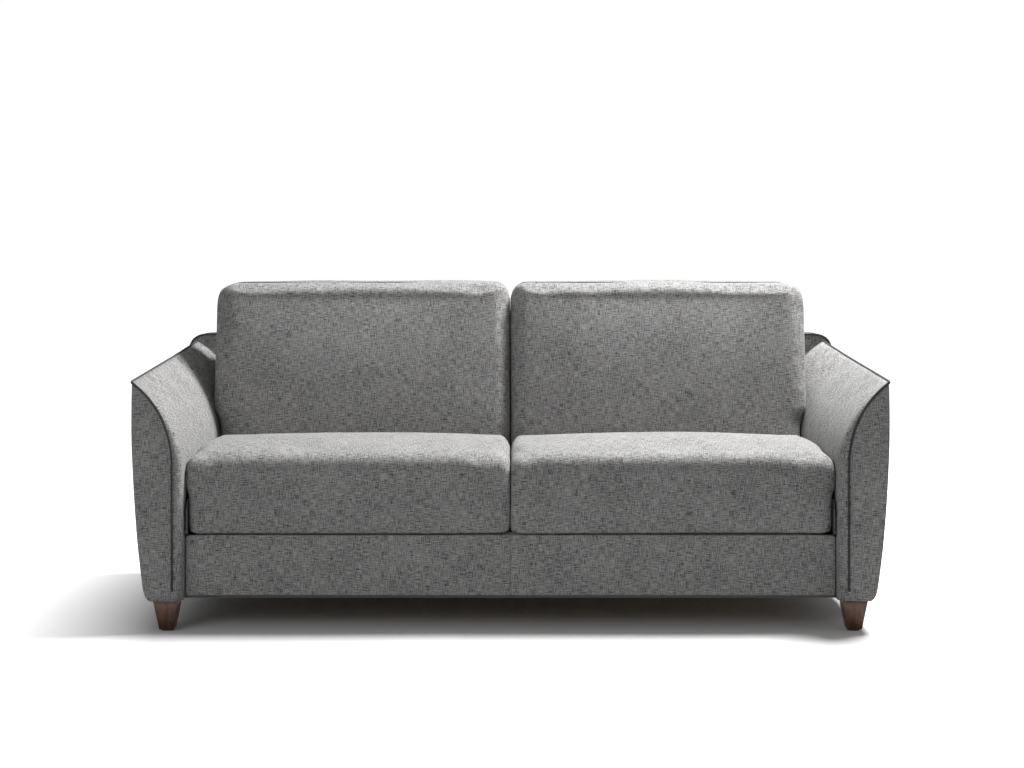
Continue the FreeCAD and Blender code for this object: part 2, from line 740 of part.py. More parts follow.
def make_back_support():
    low = hinge_height
    top = hinge_height + foot_leg_distance + back_bar_end
    side = flat_bar(
        "back_bar_right", outer_plate,
        [(back_bar_front, low + boss_radius), (rear_hinge_y - boss_radius, low - boss_radius / 2),
         (rear_hinge_y, low - boss_radius * 0.7), (rear_hinge_y + boss_radius * 0.7, low),
         (rear_hinge_y, low + boss_radius), (back_bar_rear, low + boss_radius * 4),
         (back_bar_rear, top), (back_bar_front, top)],
        [(rear_hinge_y, low, boss_radius)],
        [(rear_hinge_y, low, pin_radius + pin_clearance),
         (back_bar_middle, low + foot_leg_distance, pin_radius),
         (back_bar_middle, top - spacer_drop, pin_radius)])
    reach = cushion_side - plate_thickness
    level = (back_bar_front + slat_thickness, back_bar_rear)
    first = bar_top + layer_gap * 8
    last = top - cross_rail_width
    inner = flat_bar(
        "back_inner_bar_right", (reach, cushion_side),
        [(back_bar_front, first), (back_bar_rear, first), (back_bar_rear, top),
         (back_bar_front, top)],
        [],
        [(back_bar_middle, low + foot_leg_distance, pin_radius),
         (back_bar_middle, top - spacer_drop, pin_radius)])
    rails = []
    for number, near in enumerate([first, (first + last) / 2, last]):
        rails.append(block(f"back_rail_{number}", (-reach, reach), level,
                           (near, near + cross_rail_width)))
    battens = []
    for number in range(5):
        for side_name, sign in (("right", 1), ("left", -1)):
            middle = batten_pitch * (number + 0.5) * sign
            battens.append(block(f"back_batten_{side_name}_{number}",
                                 (middle - slat_width / 2, middle + slat_width / 2),
                                 (back_bar_front, back_bar_front + slat_thickness),
                                 (first, last + cross_rail_width)))
    strap = block("pull_strap", (-strap_width / 2, strap_width / 2),
                  (level[0], level[0] + strap_thickness), (top, top + strap_length))
    return [side, mirrored("back_bar_left", side), inner,
            mirrored("back_inner_bar_left", inner), grouped("back_cross_rails", rails),
            grouped("back_battens", battens), strap]


def make_bed_legs():
    """Flat bars that swing out square to the bed and reach the floor."""
    half = bar_width / 2
    pivot_y = rear_hinge_y - mid_leg_inset
    middle = flat_bar(
        "bed_leg_middle_right", outer_plate,
        [(pivot_y - bed_leg_length, bar_middle - half), (pivot_y, bar_middle - half),
         (pivot_y, bar_middle + half), (pivot_y - bed_leg_length, bar_middle + half)],
        [(pivot_y, bar_middle, half)],
        [(pivot_y, bar_middle, pin_radius + pin_clearance)])
    pivot_z = hinge_height + foot_leg_distance
    foot = flat_bar(
        "bed_leg_foot_right", inner_plate,
        [(back_bar_middle - half, pivot_z - bed_leg_length),
         (back_bar_middle + half, pivot_z - bed_leg_length),
         (back_bar_middle + half, pivot_z), (back_bar_middle - half, pivot_z)],
        [(back_bar_middle, pivot_z, half)],
        [(back_bar_middle, pivot_z, pin_radius + pin_clearance)])
    return [middle, mirrored("bed_leg_middle_left", middle), foot,
            mirrored("bed_leg_foot_left", foot)]


def make_lift(name, pivot_y):
    """One lift arm, its bracket on the side rail, and where its far pivot lies."""
    half = swing_width / 2
    end_y = pivot_y + swing_reach
    end_z = platform_middle
    off_y = half * sine(swing_angle)
    off_z = half * cosine(swing_angle)
    arm = flat_bar(
        f"lift_arm_{name}_right", swing_layer,
        [(pivot_y - off_y, swing_pivot_z - off_z), (end_y - off_y, end_z - off_z),
         (end_y + off_y, end_z + off_z), (pivot_y + off_y, swing_pivot_z + off_z)],
        [(pivot_y, swing_pivot_z, half), (end_y, end_z, half)],
        [(pivot_y, swing_pivot_z, pin_radius + pin_clearance),
         (end_y, end_z, pin_radius + pin_clearance)])
    bracket = flat_bar(
        f"lift_bracket_{name}_right", bracket_layer,
        [(pivot_y - bracket_half, panel_bottom), (pivot_y + bracket_half, panel_bottom),
         (pivot_y + half, swing_pivot_z), (pivot_y - half, swing_pivot_z)],
        [(pivot_y, swing_pivot_z, half)],
        [(pivot_y, swing_pivot_z, pin_radius)])
    return [arm, mirrored(f"lift_arm_{name}_left", arm), bracket,
            mirrored(f"lift_bracket_{name}_left", bracket)]


def pin_pair(label, x, y, z):
    """Two pins, right and left."""
    right = rod(f"{label}_right_pin", x, y, z, pin_radius)
    return [right, mirrored(f"{label}_left_pin", right)]


def make_pins():
    base_x = (swing_layer[0], bracket_layer[1])
    end_x = (platform_half, swing_layer[1])
    both = (inner_plate[0], outer_plate[1])
    long_x = (cushion_side - plate_thickness, outer_plate[1])
    base = []
    ends = []
    for name, pivot_y in (("front", front_swing_y), ("rear", rear_swing_y)):
        base += pin_pair(f"lift_base_{name}", base_x, pivot_y, swing_pivot_z)
        ends += pin_pair(f"lift_end_{name}", end_x, pivot_y + swing_reach, platform_middle)
    foot_z = hinge_height + foot_leg_distance
    spacer_z = foot_z + back_bar_end - spacer_drop
    return [
        grouped("lift_base_pins", base),
        grouped("lift_end_pins", ends),
        grouped("front_hinge_pins", pin_pair("front_hinge", both, hinge_y, hinge_height)),
        grouped("back_hinge_pins", pin_pair("back_hinge", both, rear_hinge_y, hinge_height)),
        grouped("middle_leg_pins",
                pin_pair("middle_leg", both, rear_hinge_y - mid_leg_inset, bar_middle)),
        grouped("foot_leg_pins", pin_pair("foot_leg", long_x, back_bar_middle, foot_z)
                + pin_pair("back_spacer", long_x, back_bar_middle, spacer_z)),
    ]


def failed(item):
    return any(word in ("Invalid", "Error") for word in item.State)


def export(nodes):
    """Check every object, then write one file for each sub-part."""
    doc.recompute()
    for item in doc.Objects:
        if failed(item):
            raise RuntimeError(f"{item.Label} did not build: {item.State}")
    for node in nodes:
        shape = node.Shape
        if shape.isNull() or not shape.isValid() or not shape.Solids:
            raise RuntimeError(f"{node.Label} is not a valid solid")
    os.makedirs("parts", exist_ok=True)
    for node in nodes:
        node.Shape.exportStep(os.path.join("parts", f"{node.Label}.step"))
    print(len(nodes), "sub-parts")


parts = make_arms() + make_back_frame() + make_base() + make_feet()
parts += make_cushions() + make_mattress()
parts += make_base_platform() + make_seat_frame() + make_back_support() + make_bed_legs()
parts += make_lift("front", front_swing_y) + make_lift("rear", rear_swing_y) + make_pins()
export(parts)
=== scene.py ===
import json
import math

import bmesh
import bpy
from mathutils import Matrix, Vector, noise


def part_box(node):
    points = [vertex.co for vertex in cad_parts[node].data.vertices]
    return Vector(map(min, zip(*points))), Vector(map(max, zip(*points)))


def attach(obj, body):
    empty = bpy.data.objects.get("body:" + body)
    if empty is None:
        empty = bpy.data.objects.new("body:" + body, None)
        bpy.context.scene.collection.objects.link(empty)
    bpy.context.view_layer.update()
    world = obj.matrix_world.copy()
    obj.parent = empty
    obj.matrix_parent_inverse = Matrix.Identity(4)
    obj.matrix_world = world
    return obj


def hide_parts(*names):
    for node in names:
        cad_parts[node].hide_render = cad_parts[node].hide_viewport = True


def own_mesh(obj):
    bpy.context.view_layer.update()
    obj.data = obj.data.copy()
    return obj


# Two-seat sleeper sofa in grey tweed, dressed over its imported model.
# Metres, X across the sofa, -Y the front, Z up, the origin on the floor under its middle.

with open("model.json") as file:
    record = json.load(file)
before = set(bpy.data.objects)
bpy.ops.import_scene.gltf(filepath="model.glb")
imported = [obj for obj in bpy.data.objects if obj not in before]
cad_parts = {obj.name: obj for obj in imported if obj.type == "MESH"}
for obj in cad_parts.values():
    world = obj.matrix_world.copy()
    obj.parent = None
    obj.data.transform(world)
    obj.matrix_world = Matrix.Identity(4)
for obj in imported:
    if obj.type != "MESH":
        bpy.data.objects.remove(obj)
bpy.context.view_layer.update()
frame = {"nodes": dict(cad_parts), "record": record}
MM = 0.001

# Repeats of the cloths, in metres
THREAD_PITCH = 0.0031
TWILL_PITCH = 0.0022
STRIPE_PITCH = 0.03
WEBBING_RIB = 0.0018
QUILT_PITCH = 0.13

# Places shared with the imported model, in millimetres
FRONT = -475.0
REAR = 475.0
ARM_INNER = 850.0
ARM_TOP_OUT = 980.0
ARM_FOOT_OUT = 938.0
ARM_LEAN = 440.0
ARM_TOP_FRONT = 648.0
ARM_TOP_REAR = 690.0
POST_FRONT = 385.0
POST_TOP = 735.0
LEG_TOP = 80.0


class Value:
    """A socket of one finish's graph: sums and products of values add Math nodes."""

    def __init__(self, finish, socket):
        self.finish = finish
        self.socket = socket

    def maths(self, operation, first, second):
        return self.finish.node("ShaderNodeMath", {"operation": operation},
                                {0: first, 1: second})

    def __add__(self, other):
        return self.maths("ADD", self, other)

    def __radd__(self, other):
        return self.maths("ADD", other, self)

    def __sub__(self, other):
        return self.maths("SUBTRACT", self, other)

    def __rsub__(self, other):
        return self.maths("SUBTRACT", other, self)

    def __mul__(self, other):
        return self.maths("MULTIPLY", self, other)

    def __rmul__(self, other):
        return self.maths("MULTIPLY", other, self)


class Finish:
    """One material and the graph that feeds its shader."""

    def __init__(self, name, **fixed):
        self.material = bpy.data.materials.new(name)
        self.material.use_nodes = True
        self.tree = self.material.node_tree
        self.shader = self.tree.nodes["Principled BSDF"]
        for key, value in fixed.items():
            self.shader.inputs[key.replace("_", " ")].default_value = value

    def node(self, kind, settings, inputs, output=0):
        """Add a node: its settings first, then the value or link of each socket."""
        made = self.tree.nodes.new(kind)
        for key, value in settings.items():
            if key == "stops":
                ramp = made.color_ramp
                while len(ramp.elements) < len(value):
                    ramp.elements.new(1.0)
                for element, (position, colour) in zip(ramp.elements, value):
                    element.position = position
                    element.color = colour
            else:
                setattr(made, key, value)
        for key, value in inputs.items():
            if isinstance(value, Value):
                self.tree.links.new(value.socket, made.inputs[key])
            else:
                made.inputs[key].default_value = value
        return Value(self, made.outputs[output])

    def feed(self, name, value):
        self.tree.links.new(value.socket, self.shader.inputs[name])

    def place(self, kind="Object"):
        return self.node("ShaderNodeTexCoord", {}, {}, kind)

    def cloth_map(self):
        return self.node("ShaderNodeUVMap", {"uv_map": "cloth"}, {})

    def stretched(self, vector, scale, turn=(0.0, 0.0, 0.0)):
        return self.node("ShaderNodeMapping", {},
                         {"Vector": vector, "Scale": scale, "Rotation": turn})

    def grain(self, vector, scale, detail=2.0, rough=0.5):
        """Noise from 0 to 1 at so many features to the metre."""
        return self.node("ShaderNodeTexNoise", {},
                         {"Vector": vector, "Scale": scale, "Detail": detail,
                          "Roughness": rough})

    def wave(self, value):
        return self.node("ShaderNodeMath", {"operation": "SINE"}, {0: value})

    def part(self, vector, axis):
        """One coordinate of a vector, by its number."""
        return self.node("ShaderNodeSeparateXYZ", {}, {"Vector": vector}, axis)

    def between(self, value, low, high):
        """Stretch the band low..high of a value to 0..1."""
        return self.node("ShaderNodeMapRange", {"clamp": True},
                         {"Value": value, "From Min": low, "From Max": high})

    def blend(self, factor, first, second):
        return self.node("ShaderNodeMix", {"data_type": "RGBA"},
                         {0: factor, 6: first, 7: second}, 2)

    def bump(self, height, distance, strength):
        """A normal from a height, at a depth in metres."""
        return self.node("ShaderNodeBump", {},
                         {"Height": height, "Distance": distance, "Strength": strength})


def grey(value, warm=0.0):
    return (value * (1 + warm), value, value * (1 - warm), 1.0)


def tweed(name, dark, light, warm=0.012):
    """Melange tweed: crossed slub threads with pale and dark flecks, on the cloth map."""
    finish = Finish(name, Sheen_Weight=0.18, Sheen_Roughness=0.45, Specular_IOR_Level=0.22)
    sheet = finish.cloth_map()
    weft = finish.grain(finish.stretched(sheet, (44.0, 640.0, 1.0)), 1.0, 2.0, 0.65)
    warp = finish.grain(finish.stretched(sheet, (640.0, 40.0, 1.0), (0.0, 0.0, 0.02)),
                        1.0, 2.0, 0.65)
    fleck = finish.grain(sheet, 420.0, 2.0, 0.7)
    cloud = finish.grain(sheet, 9.0, 3.0, 0.5)
    pitch = 2 * math.pi / THREAD_PITCH
    over = finish.wave(finish.part(sheet, 0) * pitch)
    under = finish.wave(finish.part(sheet, 1) * pitch)
    basket = over * under
    threads = weft * 0.55 + warp * 0.45
    tone = finish.between(threads + fleck * 0.45 + basket * 0.04 + cloud * 0.08, 0.65, 0.84)
    body = finish.blend(tone, grey(dark, warm), grey(light, warm))
    pale = finish.between(fleck * 0.6 + weft * 0.4, 0.59, 0.68)
    finish.feed("Base Color", finish.blend(pale * 0.55, body, grey(light * 1.55, warm * 0.6)))
    finish.feed("Roughness", 0.97 - tone * 0.12)
    relief = threads * 0.6 + fleck * 0.5 + basket * 0.22
    finish.feed("Normal", finish.bump(relief, 0.0016, 0.75))
    return finish.material


def ticking_cloth(name):
    """Plain cotton ticking: off-white with a fine twill and faint grey pinstripes."""
    finish = Finish(name, Sheen_Weight=0.12, Specular_IOR_Level=0.25)
    sheet = finish.cloth_map()
    across = finish.part(sheet, 0)
    up = finish.part(sheet, 1)
    twill = finish.wave((across + up) * (2 * math.pi / TWILL_PITCH))
    stripe = finish.wave(across * (2 * math.pi / STRIPE_PITCH))
    line = finish.between(stripe, 0.93, 0.99)
    soil = finish.grain(sheet, 6.0, 3.0)
    plain = finish.blend(soil * 0.35, (0.46, 0.445, 0.41, 1), (0.37, 0.355, 0.32, 1))
    finish.feed("Base Color", finish.blend(line * 0.45, plain, (0.17, 0.19, 0.22, 1)))
    finish.feed("Roughness", 0.86 + soil * 0.1)
    finish.feed("Normal", finish.bump(twill * 0.4 + finish.grain(sheet, 700.0), 0.0006, 0.5))
    return finish.material


def webbing_cloth(name):
    """Black webbing with ribs across its length."""
    finish = Finish(name, Specular_IOR_Level=0.3)
    spot = finish.place()
    up = finish.part(spot, 2)
    rib = finish.wave(up * (2 * math.pi / WEBBING_RIB))
    worn = finish.grain(spot, 240.0, 3.0)
    finish.feed("Base Color", finish.blend(worn, (0.018, 0.018, 0.02, 1), (0.05, 0.05, 0.052, 1)))
    finish.feed("Roughness", 0.7 + worn * 0.2)
    finish.feed("Normal", finish.bump(rib * 0.5 + worn, 0.0007, 0.7))
    return finish.material


def timber(name, dark, light, along, gloss, pores=0.35, coat=0.0):
    """Wood with its grain along one axis: stretched rings, fine pores and a soft sheen."""
    finish = Finish(name, Coat_Weight=coat, Coat_Roughness=0.25, Specular_IOR_Level=0.4)
    spot = finish.place()
    ring_scale = [28.0, 28.0, 28.0]
    pore_scale = [900.0, 900.0, 900.0]
    ring_scale[along] = 2.2
    pore_scale[along] = 28.0
    wander = finish.grain(finish.stretched(spot, tuple(ring_scale)), 1.0, 4.0, 0.6)
    bands = finish.wave(wander * 34.0)
    figure = finish.between(bands * 0.5 + wander, 0.1, 1.1)
    pore = finish.grain(finish.stretched(spot, tuple(pore_scale)), 1.0, 2.0, 0.7)
    open_pore = finish.between(pore, 0.56, 0.7)
    stained = finish.blend(figure, dark, light)
    finish.feed("Base Color", finish.blend(open_pore * pores, stained,
                                           tuple(c * 0.45 for c in dark[:3]) + (1.0,)))
    finish.feed("Roughness", gloss + figure * 0.08 + open_pore * 0.15)
    finish.feed("Normal", finish.bump(figure * 0.3 - open_pore, 0.0004, 0.4))
    return finish.material


def metal(name, colour, worn, metallic, gloss):
    """Steel with a faint orange peel, smudges and rubbed spots."""
    finish = Finish(name, Metallic=metallic, Specular_IOR_Level=0.5)
    spot = finish.place()
    smudge = finish.grain(spot, 14.0, 4.0, 0.6)
    peel = finish.grain(spot, 900.0, 2.0)
    rub = finish.between(finish.grain(spot, 55.0, 5.0, 0.7), 0.62, 0.74)
    finish.feed("Base Color", finish.blend(rub * 0.5, colour, worn))
    finish.feed("Roughness", gloss + smudge * 0.16 - rub * 0.08)
    finish.feed("Normal", finish.bump(peel, 0.00025, 0.35))
    return finish.material


def nylon(name, colour):
    finish = Finish(name, Specular_IOR_Level=0.4)
    spot = finish.place()
    mottle = finish.grain(spot, 320.0, 3.0)
    paler = tuple(c * 1.5 for c in colour[:3]) + (1.0,)
    finish.feed("Base Color", finish.blend(mottle, colour, paler))
    finish.feed("Roughness", 0.48 + mottle * 0.15)
    finish.feed("Normal", finish.bump(mottle, 0.0003, 0.4))
    return finish.material


FABRIC = tweed("grey_tweed", 0.04, 0.47)
# The piping cloth is near black: painted shade for the dark shadow line along each piped seam.
PIPING_SHADE = tweed("grey_tweed_piping_painted_shade", 0.02, 0.09)
# Near-black seam cloth: painted shade for the crease along the back cushions' seams, and also the
# colour of the mattress tufts.
SEAM_SHADE_AND_TUFT_FELT = tweed("seam_painted_shade_and_tuft_felt", 0.035, 0.09)
TICKING = ticking_cloth("cotton_ticking")
WEBBING = webbing_cloth("black_webbing")
WALNUT = timber("walnut_stained_beech", (0.055, 0.020, 0.009, 1), (0.135, 0.052, 0.024, 1), 2,
                0.36, 0.3, 0.25)
FINISHES = {
    "upholstery_fabric": FABRIC,
    "ticking": TICKING,
    "webbing": WEBBING,
    "walnut_wood": WALNUT,
    "beech_ply": timber("beech_plywood", (0.42, 0.27, 0.15, 1), (0.60, 0.42, 0.26, 1), 0, 0.55),
    "pine_rail": timber("pine_rail", (0.50, 0.33, 0.16, 1), (0.70, 0.52, 0.30, 1), 1, 0.6, 0.15),
    "beech_slat": timber("beech_slat", (0.46, 0.30, 0.17, 1), (0.64, 0.46, 0.29, 1), 0, 0.5),
    "painted_steel": metal("black_painted_steel", (0.022, 0.022, 0.024, 1),
                           (0.07, 0.068, 0.066, 1), 0.15, 0.38),
    "bright_steel": metal("zinc_plated_steel", (0.56, 0.56, 0.55, 1), (0.42, 0.41, 0.39, 1),
                          0.95, 0.28),
    "glide_plastic": nylon("nylon_glide", (0.03, 0.03, 0.032, 1)),
}


def straight(start, end, count):
    """Points from start towards end, with the end left out."""
    return [tuple(a + (b - a) * i / count for a, b in zip(start, end)) for i in range(count)]


def bowed(start, end, swell, count):
    """A bow that stands off its chord by swell at its middle, with the end left out."""
    points = []
    for i in range(count):
        t = i / count
        rise = 4 * t * (1 - t)
        points.append(tuple(a + (b - a) * t + s * rise for a, b, s in zip(start, end, swell)))
    return points


def turned(start, corner, end, count):
    """A rounded turn drawn towards its corner, with the end left out."""
    points = []
    for i in range(count):
        t = i / count
        points.append(tuple((1 - t) ** 2 * a + 2 * t * (1 - t) * c + t * t * b
                            for a, c, b in zip(start, corner, end)))
    return points


def shrunk(corners, inset):
    """A convex outline, anticlockwise, with every side moved inwards by inset."""
    count = len(corners)
    moved = []
    for i in range(count):
        before, here, after = corners[i - 1], corners[i], corners[(i + 1) % count]
        first = Vector((here[0] - before[0], here[1] - before[1])).normalized()
        second = Vector((after[0] - here[0], after[1] - here[1])).normalized()
        inward = Vector((-first.y, first.x)) + Vector((-second.y, second.x))
        reach = inset / max(inward.dot(Vector((-first.y, first.x))), 0.2)
        moved.append((here[0] + inward.x * reach, here[1] + inward.y * reach))
    return moved


def rounded(corners, radius, step, inset=0.0):
    """The points round a convex outline pulled in by inset, with rounded corners, about one
    to a step."""
    count = len(corners)
    runs = [max(2, round(((Vector(corners[(i + 1) % count]) - Vector(corners[i])).length
                          - 2 * radius) / step)) for i in range(count)]
    corners = shrunk(corners, inset)
    points = []
    for i in range(count):
        before, here, after = corners[i - 1], corners[i], corners[(i + 1) % count]
        into = Vector(before) - Vector(here)
        out = Vector(after) - Vector(here)
        start = Vector(here) + into.normalized() * radius
        end = Vector(here) + out.normalized() * radius
        points += turned(tuple(start), here, tuple(end), 5)
        following = Vector(after) - out.normalized() * radius
        points += straight(tuple(end), tuple(following), runs[i])
    return points


def side_rounding(gap, radius):
    """How far a rounded edge is drawn in at a distance gap from the side it turns into."""
    if gap >= radius:
        return 0.0
    share = 1 - gap / radius
    return radius * (1 - math.sqrt(max(0.0, 1 - share * share)))


def stations(low, high, radius, step):
    """Places between two sides, crowded where the edges round over."""
    near = [radius * share for share in (0.0, 0.03, 0.1, 0.22, 0.4, 0.62, 0.85)]
    inner = max(2, round((high - low - 2 * radius) / step))
    middle = [low + radius + (high - low - 2 * radius) * i / inner for i in range(inner + 1)]
    return [low + n for n in near] + middle + [high - n for n in reversed(near)]


def cap_rings(ring, centre):
    """Smaller copies of a ring that close it towards its centre."""
    rings = []
    for share in (0.92, 0.75, 0.5, 0.25):
        rings.append([tuple(c + (p - c) * share for p, c in zip(point, centre))
                      for point in ring])
    return rings


def lay_cloth(piece):
    """Give a mesh its cloth map: metres across the cloth, laid on each face square."""
    mesh = piece.data
    layer = mesh.uv_layers.get("cloth") or mesh.uv_layers.new(name="cloth")
    planes = ((1, 2), (0, 2), (0, 1))
    for face in mesh.polygons:
        normal = [abs(n) for n in face.normal]
        u, v = planes[normal.index(max(normal))]
        for loop in face.loop_indices:
            place = mesh.vertices[mesh.loops[loop].vertex_index].co
            layer.data[loop].uv = (place[u], place[v])
    return piece


def piece_from(name, mesh, finish):
    """An object at the origin with its finish, smooth faces and cloth map."""
    piece = bpy.data.objects.new(name, mesh)
    bpy.context.scene.collection.objects.link(piece)
    mesh.materials.clear()
    mesh.materials.append(finish)
    for face in mesh.polygons:
        face.use_smooth = True
    return lay_cloth(piece)


def skin(name, rings, finish, centres, side=1):
    """A closed form through its rings, in millimetres, with a centre point at each end."""
    form = bmesh.new()
    rows = [[form.verts.new((x * side * MM, y * MM, z * MM)) for x, y, z in ring]
            for ring in rings]
    for near, far in zip(rows, rows[1:]):
        for i in range(len(near)):
            j = (i + 1) % len(near)
            form.faces.new((near[i], near[j], far[j], far[i]))
    for row, (x, y, z) in zip((rows[0], rows[-1]), centres):
        tip = form.verts.new((x * side * MM, y * MM, z * MM))
        for i in range(len(row)):
            form.faces.new((row[i], row[(i + 1) % len(row)], tip))
    bmesh.ops.recalc_face_normals(form, faces=form.faces)
    mesh = bpy.data.meshes.new(name)
    form.to_mesh(mesh)
    form.free()
    return piece_from(name, mesh, finish)


def closed_skin(name, rings, finish, first, last, side=1):
    """A form whose two ends are closed by rings that shrink to the centres first and last."""
    head = list(reversed(cap_rings(rings[0], first)))
    tail = cap_rings(rings[-1], last)
    return skin(name, head + rings + tail, finish, (first, last), side)


def tube(name, points, radius, finish, side=1):
    """A thin round trim through points in millimetres."""
    curve = bpy.data.curves.new(name, "CURVE")
    curve.dimensions = "3D"
    curve.bevel_depth = radius * MM
    curve.bevel_resolution = 2
    curve.use_fill_caps = True
    spline = curve.splines.new("POLY")
    spline.points.add(len(points) - 1)
    for spot, (x, y, z) in zip(spline.points, points):
        spot.co = (x * side * MM, y * MM, z * MM, 1.0)
    holder = bpy.data.objects.new(name, curve)
    bpy.context.scene.collection.objects.link(holder)
    bpy.context.view_layer.update()
    ready = holder.evaluated_get(bpy.context.evaluated_depsgraph_get())
    mesh = bpy.data.meshes.new_from_object(ready)
    bpy.data.objects.remove(holder)
    bpy.data.curves.remove(curve)
    return piece_from(name, mesh, finish)


def ruffled(piece, amount, scale, seed):
    """Move a soft form's surface in and out a little, as its filling does."""
    mesh = piece.data
    shift = Vector((seed * 7.3, seed * 3.1, seed * 5.7))
    moves = []
    for point in mesh.vertices:
        wave = noise.noise(point.co * scale + shift)
        fold = noise.noise(point.co * scale * 2.7 + shift * 2)
        moves.append(point.normal * (wave * amount + fold * amount * 0.3) * MM)
    for point, move in zip(mesh.vertices, moves):
        point.co += move
    return piece


def worn_by(piece, body, slot, *nodes, fill=None):
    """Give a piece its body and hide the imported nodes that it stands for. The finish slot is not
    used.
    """
    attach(piece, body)
    if nodes:
        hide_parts(*nodes)
    return piece


SIDES = (("right", 1), ("left", -1))


def arm_outline(y, inner, outer, top):
    """The arm cut across the sofa at y, from the foot of its inner face round to its base."""
    base = LEG_TOP + 1
    hump = min(1.0, max(0.0, (y - 130.0) / (POST_FRONT - 130.0))) ** 1.6
    crest = (ARM_TOP_OUT - outer - 35.0 * hump, y, top - outer * 0.5 + 24.0 * hump)
    low_side = (953.6 - outer, y, 116.4)
    lean = (ARM_INNER + inner, y, ARM_LEAN + 40.0 * hump)
    points = straight((ARM_INNER + inner, y, base), lean, 14)
    points += bowed(lean, crest, (-22.9 - 16.0 * hump, 0.0, 14.3 + 10.0 * hump), 18)
    points += turned(crest, (crest[0] + 1.5, y, crest[2] + 1.5), (crest[0] + 2, y, crest[2] - 6), 2)
    points += bowed((crest[0] + 2, y, crest[2] - 6), low_side, (11.0, 0.0, 0.0), 22)
    points += turned(low_side, (ARM_FOOT_OUT + 10 - outer, y, base),
                     (ARM_FOOT_OUT - 6 - outer, y, base), 6)
    points += straight((ARM_FOOT_OUT - 6 - outer, y, base), (ARM_INNER + inner, y, base), 6)
    return points


def arm_top(y):
    return ARM_TOP_FRONT + (ARM_TOP_REAR - ARM_TOP_FRONT) * (y - FRONT) / (POST_FRONT - FRONT)


def make_arms():
    """Flared arms: a padded blade with a piped front panel and a piped crest."""
    turn = 24.0
    for name, side in SIDES:
        rings = []
        for share in (0.0, 0.06, 0.2, 0.4, 0.7):
            rings.append(arm_outline(FRONT + 2 + turn * share,
                                     turn * (1 - math.sqrt(1 - (1 - share) ** 2)),
                                     3.0 * (1 - share) ** 2, arm_top(FRONT + turn * share)))
        for i in range(30):
            y = FRONT + 2 + turn + (POST_FRONT - FRONT - turn - 4) * i / 29
            rings.append(arm_outline(y, 0.0, 0.0, arm_top(y)))
        centre_z = 330.0
        arm = closed_skin(f"arm_cover_{name}", rings, FABRIC,
                          (912.0, FRONT - 1.0, centre_z), (908.0, POST_FRONT - 1, centre_z), side)
        ruffled(arm, 1.2, 5.0, 1 + side)
        worn_by(arm, "sofa_frame", "upholstery_fabric", f"arm_{name}", fill=0.85)
        # The arm welts wear the near-black piping cloth, which is painted shade along the seams.
        front = rings[0]
        welt = tube(f"arm_front_piping_{name}",
                    [(x + 1.5, y - 1.0, z) for x, y, z in front[1:33]], 3.4, PIPING_SHADE, side)
        worn_by(welt, "sofa_frame", "upholstery_fabric")
        crest = [(ring[33][0] + 1.0, ring[33][1], ring[33][2] + 1.0) for ring in rings]
        welt = tube(f"arm_crest_piping_{name}", crest, 3.2, PIPING_SHADE, side)
        worn_by(welt, "sofa_frame", "upholstery_fabric")


def post_outline(y, inset):
    """The back corner post cut across the sofa at y, rounded over its top."""
    low = LEG_TOP + 1 + inset
    top = POST_TOP - inset
    left = ARM_INNER + inset
    right = 974.0 - inset
    side = (953.6 - inset, y, 116.4)
    shoulder = 58.0
    points = straight((left, y, low), (left, y, top - 24), 20)
    points += turned((left, y, top - 24), (left, y, top), (left + 24, y, top), 7)
    points += straight((left + 24, y, top), (right - shoulder, y, top), 5)
    points += turned((right - shoulder, y, top), (right, y, top), (right, y, top - shoulder), 7)
    points += bowed((right, y, top - shoulder), side, (12.0, 0.0, 0.0), 20)
    under = (ARM_FOOT_OUT - 6 - inset, y, low)
    points += turned(side, (ARM_FOOT_OUT + 10 - inset, y, low), under, 6)
    points += straight(under, (left, y, low), 6)
    return points


def make_back():
    """Outside back: two rounded corner posts, a padded panel in three widths, and welts."""
    for name, side in SIDES:
        rings = []
        for y, inset in ((POST_FRONT, 3.0), (POST_FRONT + 1, 1.2), (POST_FRONT + 4, 0.0)):
            rings.append(post_outline(y, inset))
        for i in range(1, 7):
            rings.append(post_outline(POST_FRONT + 4 + 74.0 * i / 6, 0.0))
        for y, inset in ((REAR - 7, 1.0), (REAR - 3, 3.2), (REAR - 1, 7.0)):
            rings.append(post_outline(y, inset))
        post = closed_skin(f"back_post_cover_{name}", rings, FABRIC,
                           (908.0, POST_FRONT, 400.0), (908.0, REAR, 400.0), side)
        ruffled(post, 0.8, 6.0, 3 + side)
        worn_by(post, "sofa_frame", "upholstery_fabric", f"back_post_{name}", fill=0.9)
        # The back welts wear the near-black piping cloth, which is painted shade along the seams.
        front = rings[1]
        welt = tube(f"back_post_piping_{name}", [(x, y - 0.5, z + 1.0) for x, y, z in front[14:48]],
                    3.2, PIPING_SHADE, side)
        worn_by(welt, "sofa_frame", "upholstery_fabric")
        rear = rings[-3]
        welt = tube(f"back_edge_piping_{name}", [(x, y + 1.0, z + 0.5) for x, y, z in rear[1:58]],
                    2.8, PIPING_SHADE, side)
        worn_by(welt, "sofa_frame", "upholstery_fabric")
    widths = (-849.0, -283.0, 283.0, 849.0)
    for number, (left, right) in enumerate(zip(widths, widths[1:])):
        rings = []
        for x in stations(left, right, 9.0, 34.0):
            inset = side_rounding(min(x - left, right - x), 9.0) * 0.7
            corners = [(441.0, LEG_TOP + 1), (REAR - 1, LEG_TOP + 1), (REAR - 1, POST_TOP),
                       (441.0, POST_TOP)]
            rings.append([(x, y, z) for y, z in rounded(corners, 7.0, 26.0, inset)])
        panel = closed_skin(f"outside_back_{number}", rings, FABRIC, (left, 458.0, 408.0),
                            (right, 458.0, 408.0))
        ruffled(panel, 0.9, 4.0, 11 + number)
        worn_by(panel, "sofa_frame", "upholstery_fabric", "back_panel", fill=0.9)


